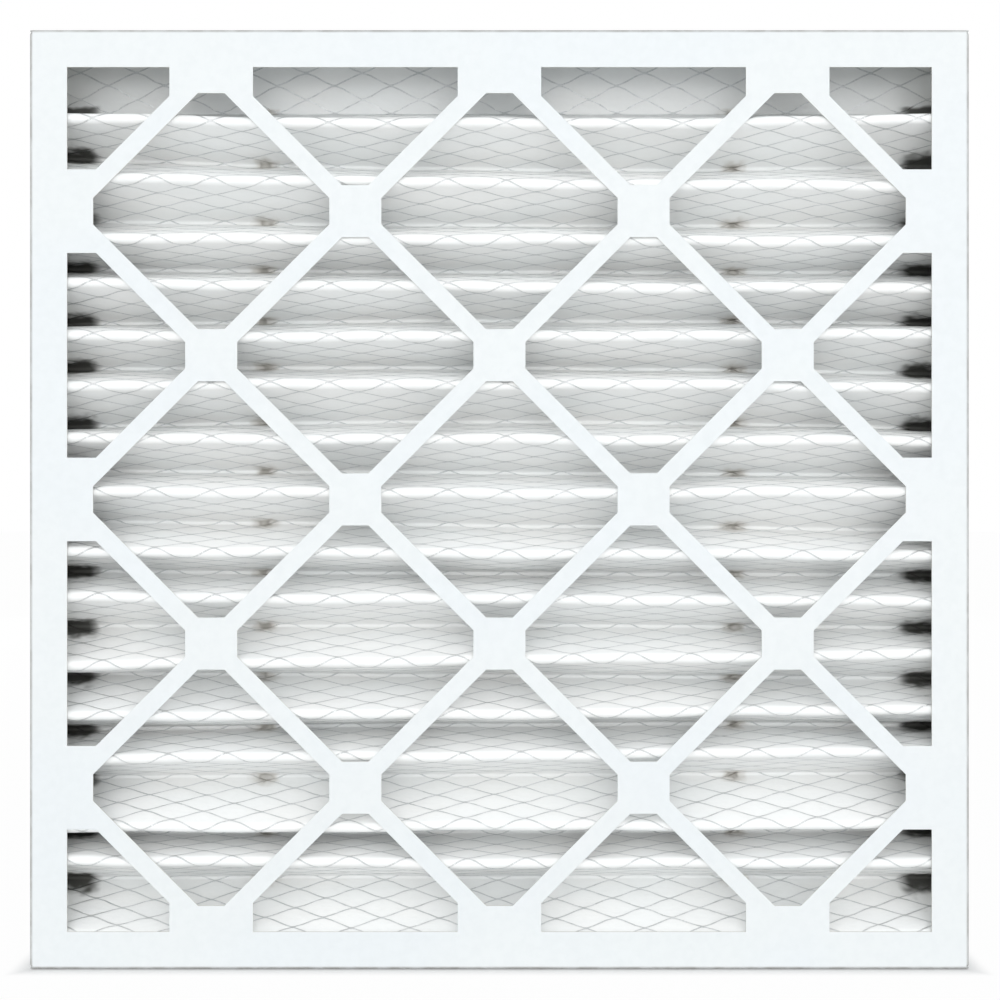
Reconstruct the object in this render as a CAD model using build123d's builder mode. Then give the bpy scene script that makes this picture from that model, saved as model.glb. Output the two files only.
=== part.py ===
from build123d import *

import math
import os

# Pleated panel air filter, nominal 20 x 20 x 2 inches, standing on its bottom edge.
# Frame: X across, Y through the filter, Z up. The die-cut lattice faces -Y, where the air leaves.
# The origin is the middle of the bottom edge. Everything is in millimetres.

# Outside of the assembled filter
width = 495.3
height = 495.3
depth = 44.45

# Board of the two folded trays
board = 0.7
bend_radius = 1.5  # outside of a fold
glue = 0.1  # glue line between two bonded faces
wall_setback = 0.5  # the front tray's raw edge lies this far inside the rear face

# Rim and die-cut lattice of the front face
border = 19.8
cells = 3  # whole diamonds from rim to rim
strip_width = 9.5
crossing_width = 27.4  # across the flats where strips cross
post_width = 44.0  # where two strips run into the rim together

# Glue tabs of the front tray, flaps of the rear tray
tab_length = 30.0
tab_chamfer = 6.0
flap_depth = 20.0
tab_gap = 1.0  # between the tabs and the rear tray's flaps

# Folded filter media
media_thickness = 1.8
fold_radius = 2.0  # to the middle of the media
pleat_count = 16
top_hem = 32.0  # the sheet ends flat against the rear rim, and stands up beyond it at the top
bottom_hem = 4.0
ridge_drift = (
    # upward, as shares of the pitch: the pleats are spread by hand before they are glued
    0.01, -0.12, -0.17, -0.04, 0.05, 0.1, 0.09, 0.09,
    -0.01, 0.1, 0.01, 0.03, 0.21, -0.08, 0.26, -0.07,
)

# Expanded-metal backing on the side where the air leaves
wire_thickness = 0.5
mesh_columns = 3
strand_width = 7.0

# Kraft straps that hold the pleat tips at the rear
strap_width = 19.0
strap_thickness = 0.4
strap_offset = 129.0  # from the middle of the filter to the middle of a strap

# Adhesive
side_bed = 3.0  # thickness of the bed between the pleat ends and the rear flaps
corner_bead = 3.5

# Planes and faces that several pieces share
front_y = -depth / 2
rear_y = depth / 2
front_inner_y = front_y + board
rear_inner_y = rear_y - board
inner_bend_radius = bend_radius - board
wall_end_y = rear_y - wall_setback
flap_start_y = rear_y - flap_depth
tab_end_y = flap_start_y - tab_gap
nest = board + glue  # from the outside of the front tray to the outside of what is glued in it
nest_x = width / 2 - nest
flap_inner_x = nest_x - board
flap_inner_z = nest + board
window_width = width - 2 * border
window_height = height - 2 * border
half_pitch_x = window_width / (2 * cells)
half_pitch_z = window_height / (2 * cells)

# Offsets of the layers, measured forward from the middle of the media
media_face = media_thickness / 2
wire_back = media_face + glue
wire_front = wire_back + wire_thickness

# The fold line runs down the middle of the media
front_fold_y = front_inner_y + glue + wire_front + fold_radius
rear_fold_y = rear_inner_y - 2 * glue - strap_thickness - media_face - fold_radius
sheet_low = flap_inner_z + inner_bend_radius + glue
sheet_high = height - sheet_low
pitch = (sheet_high - sheet_low - top_hem - bottom_hem) / pleat_count
media_half_width = flap_inner_x - inner_bend_radius - side_bed


def ridge_height(index):
    """Height of a front fold, counted from the top."""
    even = sheet_high - top_hem - (index + 0.5) * pitch
    return even + ridge_drift[index % len(ridge_drift)] * pitch


def fold_centres():
    """Centre (y, z) of each fold from the top down, with +1 for a rear fold and -1 for a front one."""
    ridges = [ridge_height(i) for i in range(pleat_count)]
    centres = [(rear_fold_y, sheet_high - top_hem, 1)]
    for i, ridge in enumerate(ridges):
        last = i == pleat_count - 1
        valley = sheet_low + bottom_hem if last else (ridge + ridges[i + 1]) / 2
        centres.append((front_fold_y, ridge, -1))
        centres.append((rear_fold_y, valley, 1))
    return centres


def flank(upper, lower, offset):
    """Ends (y, z) of the straight flank between two folds, on the surface at this offset."""
    y0, z0, side = upper
    y1, z1, _ = lower
    span = math.hypot(y1 - y0, z1 - z0)
    along = ((y1 - y0) / span, (z1 - z0) / span)
    lean = 2 * fold_radius / span
    across = side * math.sqrt(1 - lean**2)
    ny = lean * along[0] - across * along[1]
    nz = lean * along[1] + across * along[0]
    r0 = fold_radius - side * offset
    r1 = fold_radius + side * offset
    return (y0 + r0 * ny, z0 + r0 * nz), (y1 - r1 * ny, z1 - r1 * nz)


def draw_surface(offset):
    """One surface of a folded sheet from hem to hem, drawn into the line being built."""
    folds = fold_centres()
    flanks = [flank(a, b, offset) for a, b in zip(folds, folds[1:])]
    hem_y = rear_fold_y + fold_radius - offset
    Line((hem_y, sheet_high), (hem_y, folds[0][1]))
    TangentArc((hem_y, folds[0][1]), flanks[0][0], tangent=(0, -1))
    for leg in flanks:
        Line(*leg)
    for (y, z, side), above, below in zip(folds[1:], flanks, flanks[1:]):
        tip = (y + side * fold_radius - offset, z)
        ThreePointArc(above[1], tip, below[0])
    TangentArc((hem_y, folds[-1][1]), flanks[-1][1], tangent=(0, 1))
    Line((hem_y, folds[-1][1]), (hem_y, sheet_low))


def crease(fold, start, end):
    """Corners of a fold made of short flats: around its circle at the front, within it at the rear."""
    y, z, side = fold
    radius = math.hypot(start[0] - y, start[1] - z)
    first = math.atan2(start[1] - z, side * (start[0] - y))
    last = math.atan2(end[1] - z, side * (end[0] - y))
    turns = [first, first / 2, 0, last / 2, last]
    if side > 0:
        corners = [(turn, radius) for turn in turns]
    else:
        corners = [((a + b) / 2, radius / math.cos((a - b) / 2)) for a, b in zip(turns, turns[1:])]
    return [(y + side * r * math.cos(turn), z + r * math.sin(turn)) for turn, r in corners]


def draw_creased_surface(offset):
    """One surface of a sheet creased at every fold, from hem to hem, drawn into the line being built."""
    folds = fold_centres()
    flanks = [flank(a, b, offset) for a, b in zip(folds, folds[1:])]
    hem_y = rear_fold_y + fold_radius - offset
    points = [(hem_y, sheet_high)] + crease(folds[0], (hem_y, folds[0][1]), flanks[0][0])[2:]
    for fold, above, below in zip(folds[1:], flanks, flanks[1:]):
        points += crease(fold, above[1], below[0])
    points += crease(folds[-1], flanks[-1][1], (hem_y, folds[-1][1]))[:3]
    Polyline(*points, (hem_y, sheet_low))


def pleated_section(back, front, draw=draw_surface):
    """Outline of a pleated layer between two offsets, drawn with Y across and Z up."""
    with BuildSketch() as section:
        with BuildLine():
            draw(back)
            draw(front)
            for end in (sheet_low, sheet_high):
                hem_y = rear_fold_y + fold_radius
                Line((hem_y - back, end), (hem_y - front, end))
        make_face()
    return section.sketch


def folded_board(*points):
    """Section of board folded along a path through these points."""
    with BuildSketch() as section:
        with BuildLine():
            FilletPolyline(*points, radius=bend_radius - board / 2)
        trace(line_width=board)
    return section.sketch


def window(half_x, half_z):
    """One opening of the lattice: a diamond between strips, with its points cut off."""
    reach_x = half_pitch_x - strip_width / 2 * math.hypot(1, half_pitch_x / half_pitch_z)
    reach_z = reach_x * half_pitch_z / half_pitch_x
    with BuildSketch() as opening:
        Polygon((reach_x, 0), (0, reach_z), (-reach_x, 0), (0, -reach_z), align=None)
        Rectangle(2 * half_x, 2 * half_z, mode=Mode.INTERSECT)
    return opening.sketch


def lattice_openings():
    """All openings of the front face: windows at every second crossing point, cut off by the rim."""
    open_x = half_pitch_x - crossing_width / 2
    open_z = half_pitch_z - crossing_width / 2
    rim_x = half_pitch_x - post_width / 2
    rim_z = half_pitch_z - post_width / 2
    with BuildSketch() as openings:
        for i in range(-cells, cells + 1):
            for j in range(-cells, cells + 1):
                if (i + j) % 2 == 0:
                    half_x = rim_x if abs(j) == cells else open_x
                    half_z = rim_z if abs(i) == cells else open_z
                    with Locations((i * half_pitch_x, height / 2 + j * half_pitch_z)):
                        add(window(half_x, half_z))
        with Locations((0, height / 2)):
            Rectangle(window_width, window_height, mode=Mode.INTERSECT)
    return openings.sketch


# Front tray: lattice face and four walls of one sheet, with glue tabs on the side walls
mid = board / 2
side_start = nest + bend_radius
bend_end_x = width / 2 - bend_radius
wall_start_y = front_y + bend_radius
wall_x = width / 2 - mid
tab_z = nest + mid
tab_end_x = width / 2 - tab_length
with BuildPart() as front_frame:
    face_y = front_y + mid
    with BuildSketch(Plane.YZ):
        add(
            folded_board(
                (wall_end_y, mid), (face_y, mid), (face_y, height - mid), (wall_end_y, height - mid)
            )
        )
    extrude(amount=bend_end_x, both=True)
    with BuildSketch(Plane.XY.offset(side_start)):
        add(
            folded_board(
                (-wall_x, wall_end_y), (-wall_x, face_y), (wall_x, face_y), (wall_x, wall_end_y)
            )
        )
    extrude(amount=height - 2 * side_start)

    # the top and bottom walls run out over the ends of the side walls
    for wall_z in (0, height - board):
        with BuildSketch(Plane.XY.offset(wall_z)):
            with Locations((0, wall_start_y)):
                Rectangle(width, wall_end_y - wall_start_y, align=(Align.CENTER, Align.MIN))
        extrude(amount=board)

    # behind the tabs the side walls reach the top and bottom walls
    with BuildSketch(Plane.XY.offset(nest)):
        with Locations((-wall_x, tab_end_y), (wall_x, tab_end_y)):
            Rectangle(board, wall_end_y - tab_end_y, align=(Align.CENTER, Align.MIN))
    extrude(amount=height - 2 * nest)

    # each side wall turns in at both ends as a tab under the top or bottom wall
    with BuildSketch(Plane.XZ.offset(-tab_end_y)):
        for side in (-1, 1):
            add(
                folded_board(
                    (side * tab_end_x, tab_z),
                    (side * wall_x, tab_z),
                    (side * wall_x, height - tab_z),
                    (side * tab_end_x, height - tab_z),
                )
            )
    extrude(amount=tab_end_y - wall_start_y)
    tab_corners = front_frame.edges().filter_by(Axis.Z).filter_by(
        lambda edge: abs(abs(edge.center().X) - tab_end_x) < mid and edge.length < 2 * board
    )
    chamfer(tab_corners, tab_chamfer)

    with BuildSketch(Plane.XZ.offset(-front_inner_y)):
        add(lattice_openings())
    extrude(amount=2 * board, both=True, mode=Mode.SUBTRACT)
front_frame.part.label = "front_frame"

# Rear tray: a plain rim with four flaps, glued inside the front tray's walls
flap_x = nest_x - mid
flap_z = nest + mid
with BuildPart() as rear_frame:
    face_y = rear_y - mid
    with BuildSketch(Plane.YZ):
        add(
            folded_board(
                (flap_start_y, flap_z),
                (face_y, flap_z),
                (face_y, height - flap_z),
                (flap_start_y, height - flap_z),
            )
        )
    extrude(amount=nest_x - bend_radius, both=True)
    with BuildSketch(Plane.XY.offset(side_start)):
        add(
            folded_board(
                (-flap_x, flap_start_y), (-flap_x, face_y), (flap_x, face_y), (flap_x, flap_start_y)
            )
        )
    extrude(amount=height - 2 * side_start)
    with BuildSketch(Plane.XZ.offset(-rear_y)):
        with Locations((0, height / 2)):
            Rectangle(window_width, window_height)
    extrude(amount=2 * board, both=True, mode=Mode.SUBTRACT)
rear_frame.part.label = "rear_frame"

# Media: one sheet folded across the full height, both its ends flat on the rear rim
with BuildPart() as filter_media:
    with BuildSketch(Plane.YZ.offset(-media_half_width)):
        add(pleated_section(-media_face, media_face))
    extrude(amount=2 * media_half_width)
filter_media.part.label = "filter_media"

# Wire: a thin sheet folded with the media, opened into large diamonds on every flank and the top hem
mesh_pitch = 2 * media_half_width / mesh_columns
mesh_reach = min(-front_fold_y, rear_fold_y)
with BuildPart() as wire_backing:
    with BuildSketch(Plane.YZ.offset(-media_half_width)):
        add(pleated_section(wire_back, wire_front, draw_creased_surface))
    extrude(amount=2 * media_half_width)
    with BuildSketch():
        half_gap = (mesh_pitch - strand_width) / 2
        with GridLocations(mesh_pitch, 1, mesh_columns, 1):
            Polygon((half_gap, 0), (0, mesh_reach), (-half_gap, 0), (0, -mesh_reach), align=None)
    extrude(amount=height, mode=Mode.SUBTRACT)
    with BuildSketch(Plane.XZ.offset(-rear_inner_y)):
        hem_reach = top_hem / 2 - fold_radius
        with Locations((0, sheet_high - top_hem / 2)):
            with GridLocations(mesh_pitch, 1, mesh_columns, 1):
                Polygon((half_gap, 0), (0, hem_reach), (-half_gap, 0), (0, -hem_reach), align=None)
    extrude(amount=4 * media_thickness, mode=Mode.SUBTRACT)
wire_backing.part.label = "wire_backing"

# Straps: flat kraft strips between the pleat tips and the rear rim
strap_start = nest + bend_radius
straps = {}
for name, side in (("strap_left", -1), ("strap_right", 1)):
    with BuildPart() as strap:
        with BuildSketch(Plane.XZ.offset(-(rear_inner_y - glue))):
            with Locations((side * strap_offset, height / 2)):
                Rectangle(strap_width, height - 2 * strap_start)
        extrude(amount=strap_thickness)
    strap.part.label = name
    straps[name] = strap

# Side beds: adhesive between the pleats' cut ends and the side walls, thicker in front of the flaps
bed_flap_x = flap_inner_x - inner_bend_radius
bed_wall_x = nest_x
bed_rear_y = rear_inner_y - glue
side_seals = {}
for name, side in (("seal_left", -1), ("seal_right", 1)):
    with BuildPart() as seal:
        with BuildSketch(Plane.XY.offset(sheet_low)):
            Polygon(
                (side * media_half_width, wall_start_y),
                (side * bed_wall_x, wall_start_y),
                (side * bed_wall_x, flap_start_y - glue),
                (side * bed_flap_x, flap_start_y - glue),
                (side * bed_flap_x, bed_rear_y),
                (side * media_half_width, bed_rear_y),
                align=None,
            )
        extrude(amount=sheet_high - sheet_low)
    seal.part.label = name
    side_seals[name] = seal

# Corner beads: adhesive in the angle between the last turn of the sheet and the flap beside it
corner_seals = {}
for name, wall_z, inward in (
    ("seal_bottom", flap_inner_z, 1),
    ("seal_top", height - flap_inner_z, -1),
):
    with BuildPart() as seal:
        with BuildSketch(Plane.YZ):
            corner_y = rear_fold_y + fold_radius - wire_front - glue
            corner_z = wall_z + inward * glue
            corner = (corner_y, corner_z)
            Polygon(
                corner,
                (corner_y - corner_bead, corner_z),
                (corner_y, corner_z + inward * corner_bead),
                align=None,
            )
        extrude(amount=media_half_width, both=True)
    seal.part.label = name
    corner_seals[name] = seal

os.makedirs("parts", exist_ok=True)
export_step(front_frame.part, "parts/front_frame.step")
export_step(rear_frame.part, "parts/rear_frame.step")
export_step(filter_media.part, "parts/filter_media.step")
export_step(wire_backing.part, "parts/wire_backing.step")
for name, piece in {**straps, **side_seals, **corner_seals}.items():
    export_step(piece.part, f"parts/{name}.step")
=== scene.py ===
import math

import bpy
import numpy as np
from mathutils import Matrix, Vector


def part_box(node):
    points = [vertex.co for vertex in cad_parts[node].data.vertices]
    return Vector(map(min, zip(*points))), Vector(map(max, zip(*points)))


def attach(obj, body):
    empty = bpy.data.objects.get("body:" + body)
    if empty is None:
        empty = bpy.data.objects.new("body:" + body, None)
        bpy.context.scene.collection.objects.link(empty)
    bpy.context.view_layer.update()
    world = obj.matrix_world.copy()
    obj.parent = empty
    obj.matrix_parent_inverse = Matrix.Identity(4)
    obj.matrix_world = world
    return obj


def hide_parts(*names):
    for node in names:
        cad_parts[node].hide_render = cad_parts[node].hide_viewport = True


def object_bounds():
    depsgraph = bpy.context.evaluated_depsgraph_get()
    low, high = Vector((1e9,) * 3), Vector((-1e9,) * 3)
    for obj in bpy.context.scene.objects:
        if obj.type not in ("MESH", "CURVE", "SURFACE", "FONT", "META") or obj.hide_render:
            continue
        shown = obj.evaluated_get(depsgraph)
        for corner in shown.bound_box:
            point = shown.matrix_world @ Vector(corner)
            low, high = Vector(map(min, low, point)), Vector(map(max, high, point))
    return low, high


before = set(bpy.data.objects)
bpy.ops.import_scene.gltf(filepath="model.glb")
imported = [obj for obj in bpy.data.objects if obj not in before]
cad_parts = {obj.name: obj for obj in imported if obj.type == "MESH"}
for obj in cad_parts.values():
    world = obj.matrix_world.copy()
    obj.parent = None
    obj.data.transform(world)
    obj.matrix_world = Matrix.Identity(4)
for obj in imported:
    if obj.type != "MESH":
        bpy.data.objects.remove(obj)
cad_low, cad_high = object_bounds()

# Everything is in metres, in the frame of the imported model: X across, Y through the filter, Z up.
MM = 0.001
rng = np.random.default_rng(20)

# ---------------------------------------------------------------- camera, lamps, world, floor
centre_z = (cad_low.z + cad_high.z) / 2
front_y = cad_low.y
camera_distance = 870 * MM  # from the lattice face
view_width = 526.9 * MM  # what the picture takes in at the lattice face
camera_shift = 0.3 * MM  # right of the middle, and below it
sensor_width = 36  # mm

camera = bpy.data.objects.new("camera", bpy.data.cameras.new("camera"))
bpy.context.scene.collection.objects.link(camera)
camera.location = (camera_shift, front_y - camera_distance, centre_z - camera_shift)
camera.rotation_euler = (math.radians(90), 0, 0)
camera.data.sensor_width = sensor_width
camera.data.lens = sensor_width * camera_distance / view_width
camera.data.clip_end = 50
bpy.context.scene.camera = camera
bpy.context.scene.view_settings.view_transform = "Standard"


lamp_size = 1.6
lamp_power = 13


def soft_lamp(name, place, aim):
    """A square area lamp that looks from place to aim."""
    lamp = bpy.data.lights.new(name, "AREA")
    lamp.shape = "SQUARE"
    lamp.size = lamp_size
    lamp.energy = lamp_power
    holder = bpy.data.objects.new(name, lamp)
    bpy.context.scene.collection.objects.link(holder)
    holder.location = place
    way = [a - p for a, p in zip(aim, place)]
    holder.rotation_euler = (
        math.acos(-way[2] / math.hypot(*way)),
        0,
        math.atan2(-way[0], way[1]),
    )


middle = (0, 0, centre_z)
soft_lamp("key_lamp", (0.15, -2.6, 0.30), middle)
soft_lamp("back_lamp", (-0.15, 2.6, 0.60), middle)


def light_path(tree):
    """1 for rays that show the background: from the camera, a reflection or through glass."""
    path = tree.nodes.new("ShaderNodeLightPath")
    total = path.outputs["Is Camera Ray"]
    for name in ("Is Glossy Ray", "Is Transmission Ray"):
        add = tree.nodes.new("ShaderNodeMath")
        add.operation = "MAXIMUM"
        tree.links.new(total, add.inputs[0])
        tree.links.new(path.outputs[name], add.inputs[1])
        total = add.outputs[0]
    return total


# strength of the sky: sky_curve * y squared + sky_slope * y + sky_level, with y from -1 in front to 1 behind
sky_curve = 0.8
sky_slope = -0.35
sky_level = 0.65
world = bpy.data.worlds.new("studio")
bpy.context.scene.world = world
world.use_nodes = True
world.cycles.sampling_method = "NONE"  # an even sky is found by the rays themselves
world_tree = world.node_tree
world_tree.nodes.clear()
around = world_tree.nodes.new("ShaderNodeBackground")
around.inputs["Color"].default_value = (0.97, 0.99, 1.0, 1)
# the sky is brightest in front, less bright behind and dimmest to the sides
direction = world_tree.nodes.new("ShaderNodeSeparateXYZ")
sky_place = world_tree.nodes.new("ShaderNodeTexCoord")
world_tree.links.new(sky_place.outputs["Generated"], direction.inputs[0])
slope = world_tree.nodes.new("ShaderNodeMath")
slope.operation = "MULTIPLY_ADD"
world_tree.links.new(direction.outputs[1], slope.inputs[0])
slope.inputs[1].default_value = sky_curve
slope.inputs[2].default_value = sky_slope
level = world_tree.nodes.new("ShaderNodeMath")
level.operation = "MULTIPLY_ADD"
world_tree.links.new(direction.outputs[1], level.inputs[0])
world_tree.links.new(slope.outputs[0], level.inputs[1])
level.inputs[2].default_value = sky_level
world_tree.links.new(level.outputs[0], around.inputs["Strength"])
seen = world_tree.nodes.new("ShaderNodeBackground")
seen.inputs["Color"].default_value = (1, 1, 1, 1)
world_mix = world_tree.nodes.new("ShaderNodeMixShader")
world_out = world_tree.nodes.new("ShaderNodeOutputWorld")
world_tree.links.new(light_path(world_tree), world_mix.inputs[0])
world_tree.links.new(around.outputs[0], world_mix.inputs[1])
world_tree.links.new(seen.outputs[0], world_mix.inputs[2])
world_tree.links.new(world_mix.outputs[0], world_out.inputs["Surface"])


# ---------------------------------------------------------------- materials
class Recipe:
    """A Principled material that is built up from small procedural steps."""

    def __init__(self, name, roughness=0.5, **plain):
        self.material = bpy.data.materials.new(name)
        self.material.use_nodes = True
        self.tree = self.material.node_tree
        self.shader = self.tree.nodes["Principled BSDF"]
        self.shader.inputs["Roughness"].default_value = roughness
        for key, value in plain.items():
            self.shader.inputs[key.replace("_", " ")].default_value = value
        self.object = self.tree.nodes.new("ShaderNodeTexCoord").outputs["Object"]
        self.height = None

    def node(self, kind, **fields):
        made = self.tree.nodes.new(kind)
        for key, value in fields.items():
            setattr(made, key, value)
        return made

    def feed(self, socket, value):
        if isinstance(value, bpy.types.NodeSocket):
            self.tree.links.new(value, socket)
        else:
            socket.default_value = value

    def stretched(self, scale):
        """Object coordinates times a scale for each axis."""
        mapping = self.node("ShaderNodeMapping")
        mapping.inputs["Scale"].default_value = scale
        self.tree.links.new(self.object, mapping.inputs["Vector"])
        return mapping.outputs[0]

    def noise(self, size, detail=3.0, stretch=(1, 1, 1), roughness=0.5, distortion=0.0):
        """Noise from 0 to 1 whose features are about this size in metres."""
        made = self.node("ShaderNodeTexNoise")
        made.inputs["Scale"].default_value = 1.0
        made.inputs["Detail"].default_value = detail
        made.inputs["Roughness"].default_value = roughness
        made.inputs["Distortion"].default_value = distortion
        scale = tuple(1 / (size * s) for s in stretch)
        self.tree.links.new(self.stretched(scale), made.inputs["Vector"])
        return made.outputs["Fac"]

    def math(self, operation, a, b=0.0):
        made = self.node("ShaderNodeMath", operation=operation)
        self.feed(made.inputs[0], a)
        self.feed(made.inputs[1], b)
        return made.outputs[0]

    def span(self, value, low, high, out_low=0.0, out_high=1.0):
        """value taken smoothly from low..high to out_low..out_high."""
        made = self.node("ShaderNodeMapRange", interpolation_type="SMOOTHSTEP")
        for socket, x in zip(range(5), (value, low, high, out_low, out_high)):
            self.feed(made.inputs[socket], x)
        return made.outputs[0]

    def blend(self, factor, a, b):
        made = self.node("ShaderNodeMix", data_type="RGBA")
        self.feed(made.inputs[0], factor)
        self.feed(made.inputs[6], (*a, 1) if isinstance(a, tuple) else a)
        self.feed(made.inputs[7], (*b, 1) if isinstance(b, tuple) else b)
        return made.outputs[2]

    def separate(self, vector):
        made = self.node("ShaderNodeSeparateXYZ")
        self.tree.links.new(vector, made.inputs[0])
        return made.outputs

    def colour(self, value):
        self.feed(self.shader.inputs["Base Color"], value)

    def gloss(self, value):
        self.feed(self.shader.inputs["Roughness"], value)

    def bump(self, height, distance):
        """Relief of this depth in metres; each call adds to the ones before."""
        made = self.node("ShaderNodeBump")
        made.inputs["Strength"].default_value = 1.0
        made.inputs["Distance"].default_value = distance
        self.tree.links.new(height, made.inputs["Height"])
        if self.height is not None:
            self.tree.links.new(self.height, made.inputs["Normal"])
        self.height = made.outputs[0]
        self.feed(self.shader.inputs["Normal"], self.height)


strap_low, strap_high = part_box("strap_right")
strap_x = (strap_low.x + strap_high.x) / 2


def white_board():
    """Clay-coated white carton board: faint mottle, rubbed folds with painted shade along them, bare fibre
    on the cut edges.
    """
    board = Recipe("white_board")
    cloud = board.noise(70 * MM, 0)
    mottle = board.noise(4 * MM, 2)
    tone = board.blend(board.span(cloud, 0.35, 0.65), (0.80, 0.83, 0.845), (0.81, 0.835, 0.84))
    tone = board.blend(board.span(mottle, 0.3, 0.75, 0.0, 0.22), tone, (0.73, 0.76, 0.77))
    x, y, z = board.separate(board.object)
    across = board.math("ABSOLUTE", x)
    upright = board.math("ABSOLUTE", board.math("SUBTRACT", z, centre_z))
    out = board.math("MAXIMUM", across, upright)
    geometry = board.node("ShaderNodeNewGeometry")
    normal = board.separate(geometry.outputs["Normal"])
    half = (cad_high.x - cad_low.x) / 2
    # rubbed wear and painted shade: the outer folds and corners
    deep = board.math("ABSOLUTE", y)
    rub_and_shade = board.math(
        "MULTIPLY",
        board.span(out, half - 2.0 * MM, half - 0.7 * MM),
        board.span(deep, cad_high.y - 3.0 * MM, cad_high.y - 0.9 * MM),
    )
    rub_and_shade = board.math("MULTIPLY", rub_and_shade, board.span(board.noise(9 * MM, 2), 0.3, 0.7, 0.6, 0.95))
    # darken the outer folds: partly rubbed wear, partly painted shade
    tone = board.blend(rub_and_shade, tone, (0.36, 0.355, 0.34))
    # bare fibre: faces of the die-cut openings, which look across the board
    sideways = board.span(board.math("ABSOLUTE", normal[1]), 0.5, 0.2)
    inside = board.span(out, half - 4 * MM, half - 5 * MM)
    tone = board.blend(board.math("MULTIPLY", sideways, inside), tone, (0.74, 0.71, 0.65))
    board.colour(tone)
    board.gloss(board.span(mottle, 0.3, 0.7, 0.42, 0.6))
    return board.material


def kraft_paper():
    """Brown kraft strip with long fibres."""
    paper = Recipe("kraft_paper")
    fibre = paper.noise(1.2 * MM, 5, stretch=(0.5, 1, 6), distortion=0.6)
    cloud = paper.noise(22 * MM, 3)
    tone = paper.blend(paper.span(cloud, 0.3, 0.7), (0.36, 0.235, 0.13), (0.45, 0.31, 0.185))
    tone = paper.blend(paper.span(fibre, 0.45, 0.8, 0.0, 0.6), tone, (0.25, 0.15, 0.075))
    paper.colour(tone)
    paper.gloss(paper.span(fibre, 0.3, 0.7, 0.72, 0.9))
    paper.bump(fibre, 0.05 * MM)
    return paper.material


def adhesive():
    """Set glue, dull off-white, with a slumped skin."""
    glue = Recipe("adhesive")
    slump = glue.noise(9 * MM, 2, stretch=(1, 1, 1.8))
    skin = glue.noise(1.6 * MM, 3)
    tone = glue.blend(glue.span(slump, 0.3, 0.7), (0.70, 0.69, 0.63), (0.80, 0.79, 0.74))
    tone = glue.blend(glue.span(skin, 0.55, 0.8, 0.0, 0.4), tone, (0.60, 0.57, 0.49))
    glue.colour(tone)
    glue.gloss(glue.span(skin, 0.3, 0.7, 0.3, 0.5))
    glue.bump(slump, 1.2 * MM)
    glue.bump(skin, 0.12 * MM)
    return glue.material


def glue_stains_and_painted_shade(recipe, tone, blot=0.0):
    """Marks in the rear folds: glue stain with painted strap shadow under the straps, and painted rim shade
    where the ends are set in the adhesive.
    blot, in metres, makes its edge uneven; without one the edge is smooth."""
    x, y, z = recipe.separate(recipe.object)
    across = recipe.math("ABSOLUTE", x)
    on_hem = recipe.span(z, cad_high.z - 34 * MM, cad_high.z - 28 * MM, 0.0, 20 * MM)
    deep = recipe.math("SUBTRACT", recipe.math("ADD", y, blot), on_hem)
    off_strap = recipe.math("ABSOLUTE", recipe.math("SUBTRACT", across, strap_x))
    off_strap = recipe.math("ADD", off_strap, blot)
    end = recipe.math("ADD", across, recipe.math("MULTIPLY", blot, 0.4))
    # near the straps: glue stain with a painted shadow of the strap, darkest at its core
    for near, far_off, shallow, at_full, strength, stain_and_shade in (
        (2, 9, 10, 17, 0.45, (0.48, 0.44, 0.38)),
        (1, 4, 15, 19, 0.5, (0.16, 0.14, 0.11)),
    ):
        mark = recipe.math(
            "MULTIPLY",
            recipe.span(off_strap, far_off * MM, near * MM),
            recipe.span(deep, shallow * MM, at_full * MM),
        )
        tone = recipe.blend(recipe.math("MULTIPLY", mark, strength), tone, stain_and_shade)
    # painted shade of the rear rim: the rear folds turn almost black near the cut ends
    rim_shade = recipe.math("MULTIPLY", recipe.span(end, 218 * MM, 226 * MM), recipe.span(deep, 4 * MM, 15 * MM))
    return recipe.blend(recipe.math("MULTIPLY", rim_shade, 0.95), tone, (0.10, 0.10, 0.09))


def filter_cloth():
    """White needled fibre."""
    cloth = Recipe("filter_cloth", Specular_IOR_Level=0.0)
    cloud = cloth.noise(26 * MM, 1, stretch=(2.2, 1, 1))
    tuft = cloth.noise(2.6 * MM, 1, stretch=(1.6, 1, 1))
    fibre = cloth.noise(0.45 * MM, 1, stretch=(3.5, 1, 1), roughness=0.65)
    tone = cloth.blend(cloth.span(cloud, 0.3, 0.7), (0.955, 0.965, 0.96), (0.97, 0.97, 0.96))
    tone = cloth.blend(cloth.span(tuft, 0.45, 0.8, 0.0, 0.3), tone, (0.91, 0.92, 0.91))
    tone = cloth.blend(cloth.span(fibre, 0.55, 0.85, 0.0, 0.3), tone, (0.90, 0.91, 0.90))
    blot = cloth.math("MULTIPLY", cloth.math("SUBTRACT", cloth.noise(7 * MM, 1), 0.5), 14 * MM)
    # glue stain and painted shade of the straps and of the rear rim, on the media
    tone = glue_stains_and_painted_shade(cloth, tone, blot)
    cloth.colour(tone)
    cloth.gloss(cloth.span(tuft, 0.3, 0.7, 0.8, 0.95))
    cloth.bump(tuft, 0.12 * MM)
    return cloth.material


def galvanised():
    """Zinc-coated steel, dull grey with brighter spangles."""
    zinc = Recipe("galvanised", Metallic=1.0)
    spangle = zinc.noise(5 * MM, 0)
    film = zinc.noise(0.8 * MM, 1)
    tone = zinc.blend(zinc.span(spangle, 0.3, 0.7), (0.73, 0.745, 0.75), (0.83, 0.84, 0.845))
    tone = zinc.blend(zinc.span(film, 0.5, 0.8, 0.0, 0.5), tone, (0.64, 0.64, 0.635))
    # the wire carries the same glue stain and painted shade of the straps and of the rear rim
    zinc.colour(glue_stains_and_painted_shade(zinc, tone))
    zinc.gloss(zinc.span(film, 0.3, 0.7, 0.5, 0.7))
    return zinc.material


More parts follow.
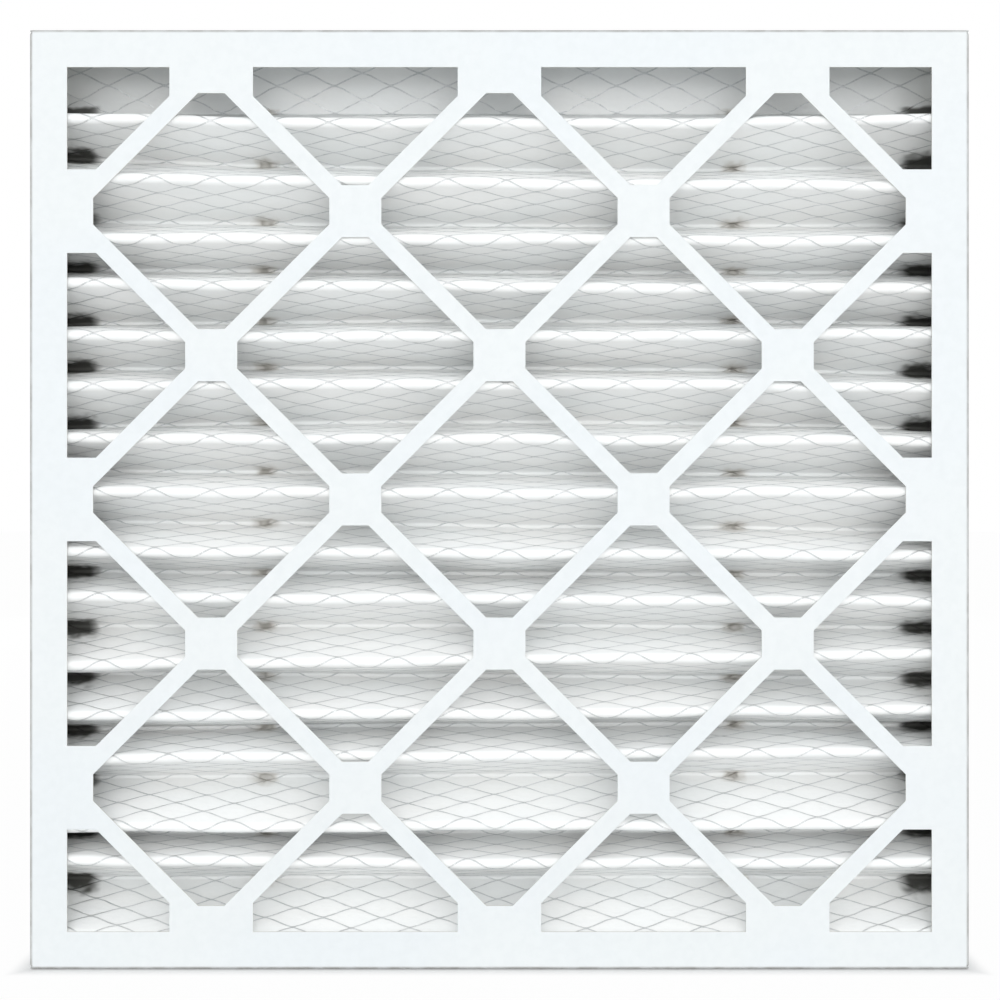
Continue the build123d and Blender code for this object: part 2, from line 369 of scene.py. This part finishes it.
def pale_floor():
    """White floor: it takes the object's shadow, and runs out to plain white further off."""
    floor = Recipe("pale_floor", roughness=0.9)
    grain = floor.noise(3 * MM, 3)
    floor.colour(floor.blend(floor.span(grain, 0.3, 0.7), (0.80, 0.80, 0.80), (0.82, 0.82, 0.82)))
    x, y, _ = floor.separate(floor.object)
    beside = floor.math("SUBTRACT", floor.math("ABSOLUTE", x), cad_high.x)
    ahead = floor.math("SUBTRACT", floor.math("ABSOLUTE", y), cad_high.y)
    clear = floor.math("MAXIMUM", beside, ahead)
    far = floor.span(clear, 0.0, 12 * MM, 0.2, 0.96)
    glow = floor.node("ShaderNodeEmission")
    glow.inputs["Color"].default_value = (1, 1, 1, 1)
    mix = floor.node("ShaderNodeMixShader")
    floor.feed(mix.inputs[0], floor.math("MULTIPLY", far, light_path(floor.tree)))
    floor.tree.links.new(floor.shader.outputs[0], mix.inputs[1])
    floor.tree.links.new(glow.outputs[0], mix.inputs[2])
    output = next(n for n in floor.tree.nodes if n.type == "OUTPUT_MATERIAL")
    floor.tree.links.new(mix.outputs[0], output.inputs["Surface"])
    return floor.material


def mesh_object(name, points, faces, material, smooth=True):
    """A mesh object in the row frame."""
    mesh = bpy.data.meshes.new(name)
    mesh.from_pydata([tuple(p) for p in points], [], [tuple(f) for f in faces])
    mesh.validate()
    mesh.polygons.foreach_set("use_smooth", [smooth] * len(mesh.polygons))
    mesh.materials.append(material)
    made = bpy.data.objects.new(name, mesh)
    bpy.context.scene.collection.objects.link(made)
    return made


floor_reach = 12.0
floor_z = -0.3 * MM
floor_corners = [(-1, -1), (1, -1), (1, 1), (-1, 1)]
floor = mesh_object(
    "floor",
    [(x * floor_reach, y * floor_reach, floor_z) for x, y in floor_corners],
    [(0, 1, 2, 3)],
    pale_floor(),
)

# ---------------------------------------------------------------- how the sheet is folded
media_low, media_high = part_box("filter_media")
half_width = media_high.x
half_media = 0.9 * MM
fold_radius = 2.0 * MM  # to the middle of the media
top_hem = 32.0 * MM  # stands up flat against the rear rim
bottom_hem = 4.0 * MM
pleats = 16
front_fold = media_low.y + half_media + fold_radius
rear_fold = media_high.y - half_media - fold_radius
pitch = (media_high.z - media_low.z - top_hem - bottom_hem) / pleats
ridge_drift = (
    # upward, as shares of the pitch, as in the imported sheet
    0.01, -0.12, -0.17, -0.04, 0.05, 0.1, 0.09, 0.09,
    -0.01, 0.1, 0.01, 0.03, 0.21, -0.08, 0.26, -0.07,
)
ridge_wander = (
    # how far a ridge runs above its place at the left end, in the middle and at the right end, in mm
    (2.5, -0.5, 2.0), (3.5, 0.0, -1.5), (0.5, 0.0, -1.3), (2.0, -0.3, -1.0), (-0.3, -0.5, 0.8),
    (0.0, 1.0, -1.0), (1.0, 0.5, -0.5), (2.0, 0.5, 1.5), (1.5, 0.0, -1.0), (2.0, 1.0, -0.5),
    (-3.0, 0.0, 3.0), (-1.5, -0.5, 2.0), (-0.5, 0.5, 3.5), (-1.0, 0.0, 1.0), (1.0, -1.0, 0.0),
    (0.0, -3.0, 0.5),
)
valley_wander = (
    # the same for the rear folds below each ridge, beside the halfway line between their ridges
    (3.0, -1.0, 0.5), (0.0, -1.0, 0.0), (1.0, 0.5, 1.0), (-4.0, -1.0, -3.0), (-1.5, -1.0, -4.0),
    (-6.0, -3.0, -6.0), (-2.0, -2.5, -4.0), (0.0, -1.5, -4.0), (0.5, 0.0, 0.0), (-0.5, -0.5, -2.5),
    (4.0, 1.5, -1.5), (-2.0, 0.0, -1.6), (1.5, 2.0, 2.0), (-1.0, -1.0, 0.0), (1.0, 3.0, 1.5),
)
side = np.array([1 if i % 2 == 0 else -1 for i in range(2 * pleats + 1)])  # 1 for a rear fold
fold_y = np.where(side > 0, rear_fold, front_fold)
ripple_turns = rng.uniform(0, 2 * math.pi, (2 * pleats, 3))


def bow(across, left, mid, right):
    """Curve through its values at the left end, the middle and the right end."""
    return mid + (right - left) / 2 * across + ((left + right) / 2 - mid) * across**2


def fold_heights(x, wander=1.0):
    """Height of every fold at each x, top to bottom, as an array of folds by points."""
    x = np.atleast_1d(x)
    across = x / half_width
    folds = np.empty((2 * pleats + 1, len(x)))
    folds[0] = media_high.z - top_hem
    folds[-1] = media_low.z + bottom_hem
    for i, drift in enumerate(ridge_drift):
        even = media_high.z - top_hem - (i + 0.5 - drift) * pitch
        ripple = 0.35 * np.sin(x / (31 * MM) + ripple_turns[i, 0])
        ripple = ripple + 0.25 * np.sin(x / (13 * MM) + ripple_turns[i, 1])
        folds[2 * i + 1] = even + wander * (bow(across, *ridge_wander[i]) + ripple) * MM
    ridges = folds[1::2]
    straight = media_high.z - top_hem - (np.arange(pleats) + 0.5 - np.array(ridge_drift)) * pitch
    for i in range(pleats - 1):
        still = (straight[i] + straight[i + 1]) / 2
        follow = (ridges[i] + ridges[i + 1]) / 2 - still
        folds[2 * i + 2] = still + 0.6 * follow + wander * bow(across, *valley_wander[i]) * MM
    return folds


def flank_normals(folds):
    """Unit normals (y, z) of the straight flanks between the folds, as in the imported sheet."""
    dy = (fold_y[1:] - fold_y[:-1])[:, None]
    dz = folds[1:] - folds[:-1]
    span = np.hypot(dy, dz)
    lean = 2 * fold_radius / span
    across = side[:-1, None] * np.sqrt(1 - lean**2)
    ny = lean * dy / span - across * dz / span
    nz = lean * dz / span + across * dy / span
    return ny, nz


def fold_angles(folds):
    """Angles at which the sheet comes onto each fold and leaves it, from the fold's tip."""
    ny, nz = flank_normals(folds)
    turn = np.arctan2(nz, side[:-1, None] * ny)
    onto = np.vstack([np.zeros(folds.shape[1]), -turn])
    off = np.vstack([turn, np.zeros(folds.shape[1])])
    return onto, off, ny, nz


def place(x, part, share, offset):
    """Points of the folded sheet. part 0 is the top hem, 2 i + 1 fold i, 2 i + 2 the flank below it,
    and the last the bottom hem. share runs from 0 to 1 down each. offset is forward of the media's
    middle."""
    folds = fold_heights(x)
    onto, off, ny, nz = fold_angles(folds)
    here = np.arange(len(x))
    fold = np.clip((part - 1) // 2, 0, 2 * pleats)
    below = np.minimum(fold + 1, 2 * pleats)
    flank = np.minimum(fold, 2 * pleats - 1)
    s = side[fold]
    # swell of the flanks between their folds
    waves = (
        np.sin(x / (58 * MM) + ripple_turns[flank, 0])
        + 0.6 * np.sin(x / (27 * MM) + ripple_turns[flank, 1])
        + 0.3 * np.sin(x / (11 * MM) + ripple_turns[flank, 2])
    )
    on_flank = (part % 2 == 0) & (part > 0) & (part < 4 * pleats + 2)
    swell = np.where(on_flank, np.sin(math.pi * share), 0) * waves * 0.45 * MM
    reach0 = fold_radius - s * (offset + swell)
    reach1 = fold_radius + s * (offset + swell)
    # on a fold
    angle = onto[fold, here] * (1 - share) + off[fold, here] * share
    fold_at_y = fold_y[fold] + s * reach0 * np.cos(angle)
    fold_at_z = folds[fold, here] + reach0 * np.sin(angle)
    # on a flank
    n_y, n_z = ny[flank, here], nz[flank, here]
    y0, z0 = fold_y[fold] + reach0 * n_y, folds[fold, here] + reach0 * n_z
    y1, z1 = fold_y[below] - reach1 * n_y, folds[below, here] - reach1 * n_z
    flank_y, flank_z = y0 + (y1 - y0) * share, z0 + (z1 - z0) * share
    y = np.where(on_flank, flank_y, fold_at_y)
    z = np.where(on_flank, flank_z, fold_at_z)
    # on a hem: the top one bulges forward a little
    hem_y = rear_fold + fold_radius - offset
    top, bottom = part == 0, part == 4 * pleats + 2
    bulge = (2.8 + 0.5 * np.sin(x / (43 * MM) + 0.6) + 0.3 * np.sin(x / (17 * MM))) * MM
    y = np.where(top | bottom, hem_y, y)
    y = np.where(top, hem_y - bulge * np.sin(math.pi * share) ** 2, y)
    z = np.where(top, media_high.z - top_hem * share, z)
    z = np.where(bottom, media_low.z + bottom_hem * (1 - share), z)
    return np.column_stack([x, y, z])


def part_lengths(offset):
    """Unrolled length of each part of the sheet on this surface, with its ridges straight."""
    folds = fold_heights(np.zeros(1), wander=0.0)
    onto, off, _, _ = fold_angles(folds)
    lengths = [top_hem]
    for i in range(2 * pleats + 1):
        lengths.append((fold_radius - side[i] * offset) * (onto[i, 0] - off[i, 0]))
        if i < 2 * pleats:
            span = math.hypot(fold_y[i + 1] - fold_y[i], folds[i + 1, 0] - folds[i, 0])
            lengths.append(math.sqrt(span**2 - (2 * fold_radius) ** 2))
    return np.array(lengths + [bottom_hem])


# ---------------------------------------------------------------- the media
columns = 84
fold_steps = 8
flank_steps = 5
hem_steps = 8
rows = [(0, i / hem_steps) for i in range(hem_steps)]
for part in range(1, 4 * pleats + 2):
    steps = fold_steps if part % 2 else flank_steps
    rows += [(part, i / steps) for i in range(steps)]
rows += [(4 * pleats + 2, 0.0), (4 * pleats + 2, 1.0)]
row_part = np.repeat([p for p, _ in rows], columns)
row_share = np.repeat([s for _, s in rows], columns)
row_x = np.tile(np.linspace(-half_width, half_width, columns), len(rows))
front = place(row_x, row_part, row_share, half_media)
back = place(row_x, row_part, row_share, -half_media)

count = len(front)
faces = []
for r in range(len(rows) - 1):
    for c in range(columns - 1):
        a = r * columns + c
        b = a + columns
        faces.append((a, b, b + 1, a + 1))
        faces.append((count + a, count + a + 1, count + b + 1, count + b))
    left, right = r * columns, r * columns + columns - 1
    faces.append((left, count + left, count + left + columns, left + columns))
    faces.append((right, right + columns, count + right + columns, count + right))
last = (len(rows) - 1) * columns
for c in range(columns - 1):
    faces.append((c, c + 1, count + c + 1, count + c))
    faces.append((last + c, count + last + c, count + last + c + 1, last + c + 1))
media = mesh_object("pleated_media", np.vstack([front, back]), faces, filter_cloth())
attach(media, "root")
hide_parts("filter_media")
float(part_lengths(0).sum())

# ---------------------------------------------------------------- the expanded metal
strand_width = 0.85 * MM
strand_height = 0.24 * MM
wire_offset = half_media - 0.04 * MM  # the strands are pressed into the fibre
half_wave = 15.55 * MM  # from one bond to the next across
row_height = 7.25 * MM  # from one row of bonds to the next, along the sheet
bond = 0.06  # half length of a bond as a share of a half wave
wire_parts = part_lengths(wire_offset)
wire_starts = np.concatenate([[0], np.cumsum(wire_parts)])
wire_length = wire_starts[-1]
stations = []  # lengths along the sheet at which a strand bends with a fold
for i in range(2 * pleats + 1):
    start, length = wire_starts[2 * i + 1], wire_parts[2 * i + 1]
    steps = 3 if side[i] > 0 else 7
    stations += [start + length * k / steps for k in range(steps + 1)]
stations = np.array(stations)
# corners of a strand in one half wave: place across as a share of it, and height as a share of the swing
beat = [(bond, 1.0), (0.30, 0.52), (0.70, -0.52), (1 - bond, -1.0)]
overlap = 0.8 * strand_width  # by how much two strands run into each other at a bond
across_jitter = 0.12 * MM
along_jitter = 0.10 * MM
clear_of_station = 0.2 * MM
cut_in = 0.5 * MM  # the wire ends this far inside the media's cut ends
line_count = int(wire_length / row_height)
slack = (wire_length - line_count * row_height) / 2


def zigzag(line):
    """Places across, and lengths along the sheet, of the corners of one strand."""
    base = slack + (line + 0.5) * row_height
    swing = (row_height - overlap) / 2 * (1 if line % 2 else -1)
    drift = (2.5 * math.sin(base / 0.19 + 1.0) + 9.0 * base) * MM
    first_wave = int(math.floor((-half_width - drift) / half_wave)) - 1
    last_wave = int(math.ceil((half_width - drift) / half_wave)) + 1
    xs, ss = [], []
    for wave in range(first_wave, last_wave):
        flip = 1 if wave % 2 == 0 else -1
        for share, height in beat:
            xs.append(drift + (wave + share) * half_wave)
            ss.append(base + flip * height * swing)
    xs = np.array(xs) + rng.normal(0, across_jitter, len(xs))
    ss = np.array(ss) + rng.normal(0, along_jitter, len(ss))
    return xs, ss


def with_stations(xs, ss):
    """The same strand with a point wherever it crosses a station."""
    new_x, new_s = [xs[0]], [ss[0]]
    for x0, s0, x1, s1 in zip(xs, ss, xs[1:], ss[1:]):
        low, high = min(s0, s1), max(s0, s1)
        crossed = stations[(stations > low + clear_of_station) & (stations < high - clear_of_station)]
        if s1 < s0:
            crossed = crossed[::-1]
        for station in crossed:
            t = (station - s0) / (s1 - s0)
            new_x.append(x0 + (x1 - x0) * t)
            new_s.append(station)
        new_x.append(x1)
        new_s.append(s1)
    xs, ss = np.array(new_x), np.clip(np.array(new_s), 0.2 * MM, wire_length - 0.2 * MM)
    keep = (xs > -half_width + cut_in) & (xs < half_width - cut_in)
    return xs[keep], ss[keep]


def strand_axes(xs, ss):
    """Centre line of a strand on the folded sheet, with unit vectors out of the sheet and beside it."""
    part = np.clip(np.searchsorted(wire_starts, ss, side="right") - 1, 0, len(wire_parts) - 1)
    share = (ss - wire_starts[part]) / wire_parts[part]
    centre = place(xs, part, share, wire_offset)
    outer = place(xs, part, share, wire_offset + 0.2 * MM)
    normal = outer - centre
    normal /= np.linalg.norm(normal, axis=1)[:, None]
    run = np.gradient(centre, axis=0)
    run /= np.linalg.norm(run, axis=1)[:, None]
    beside = np.cross(run, normal)
    beside /= np.linalg.norm(beside, axis=1)[:, None]
    return centre, normal, beside


def add_strand(points, tube_faces, axes):
    """Add a three-sided tube round these axes, flat towards the front and closed at both ends."""
    start = len(points)
    for c, n, b in zip(*axes):
        points.append(c + b * strand_width / 2 + n * strand_height / 2)
        points.append(c - b * strand_width / 2 + n * strand_height / 2)
        points.append(c - n * strand_height / 2)
    rings = len(axes[0])
    tube_faces.append((start, start + 1, start + 2))
    for r in range(rings - 1):
        a = start + 3 * r
        for k in range(3):
            k1 = (k + 1) % 3
            tube_faces.append((a + k, a + 3 + k, a + 3 + k1, a + k1))
    end = start + 3 * (rings - 1)
    tube_faces.append((end + 2, end + 1, end))


points, tube_faces = [], []
for line in range(line_count):
    add_strand(points, tube_faces, strand_axes(*with_stations(*zigzag(line))))
wire = mesh_object("expanded_metal", points, tube_faces, galvanised(), smooth=False)
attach(wire, "root")
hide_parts("wire_backing")

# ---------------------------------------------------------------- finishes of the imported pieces
finishes = {
    "front_frame": white_board(),
    "strap_left": kraft_paper(),
    "seal_left": adhesive(),
}
finishes["rear_frame"] = finishes["front_frame"]
finishes["strap_right"] = finishes["strap_left"]
for name in ("seal_right", "seal_bottom", "seal_top"):
    finishes[name] = finishes["seal_left"]
for name, material in finishes.items():
    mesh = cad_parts[name].data
    mesh.materials.clear()
    mesh.materials.append(material)
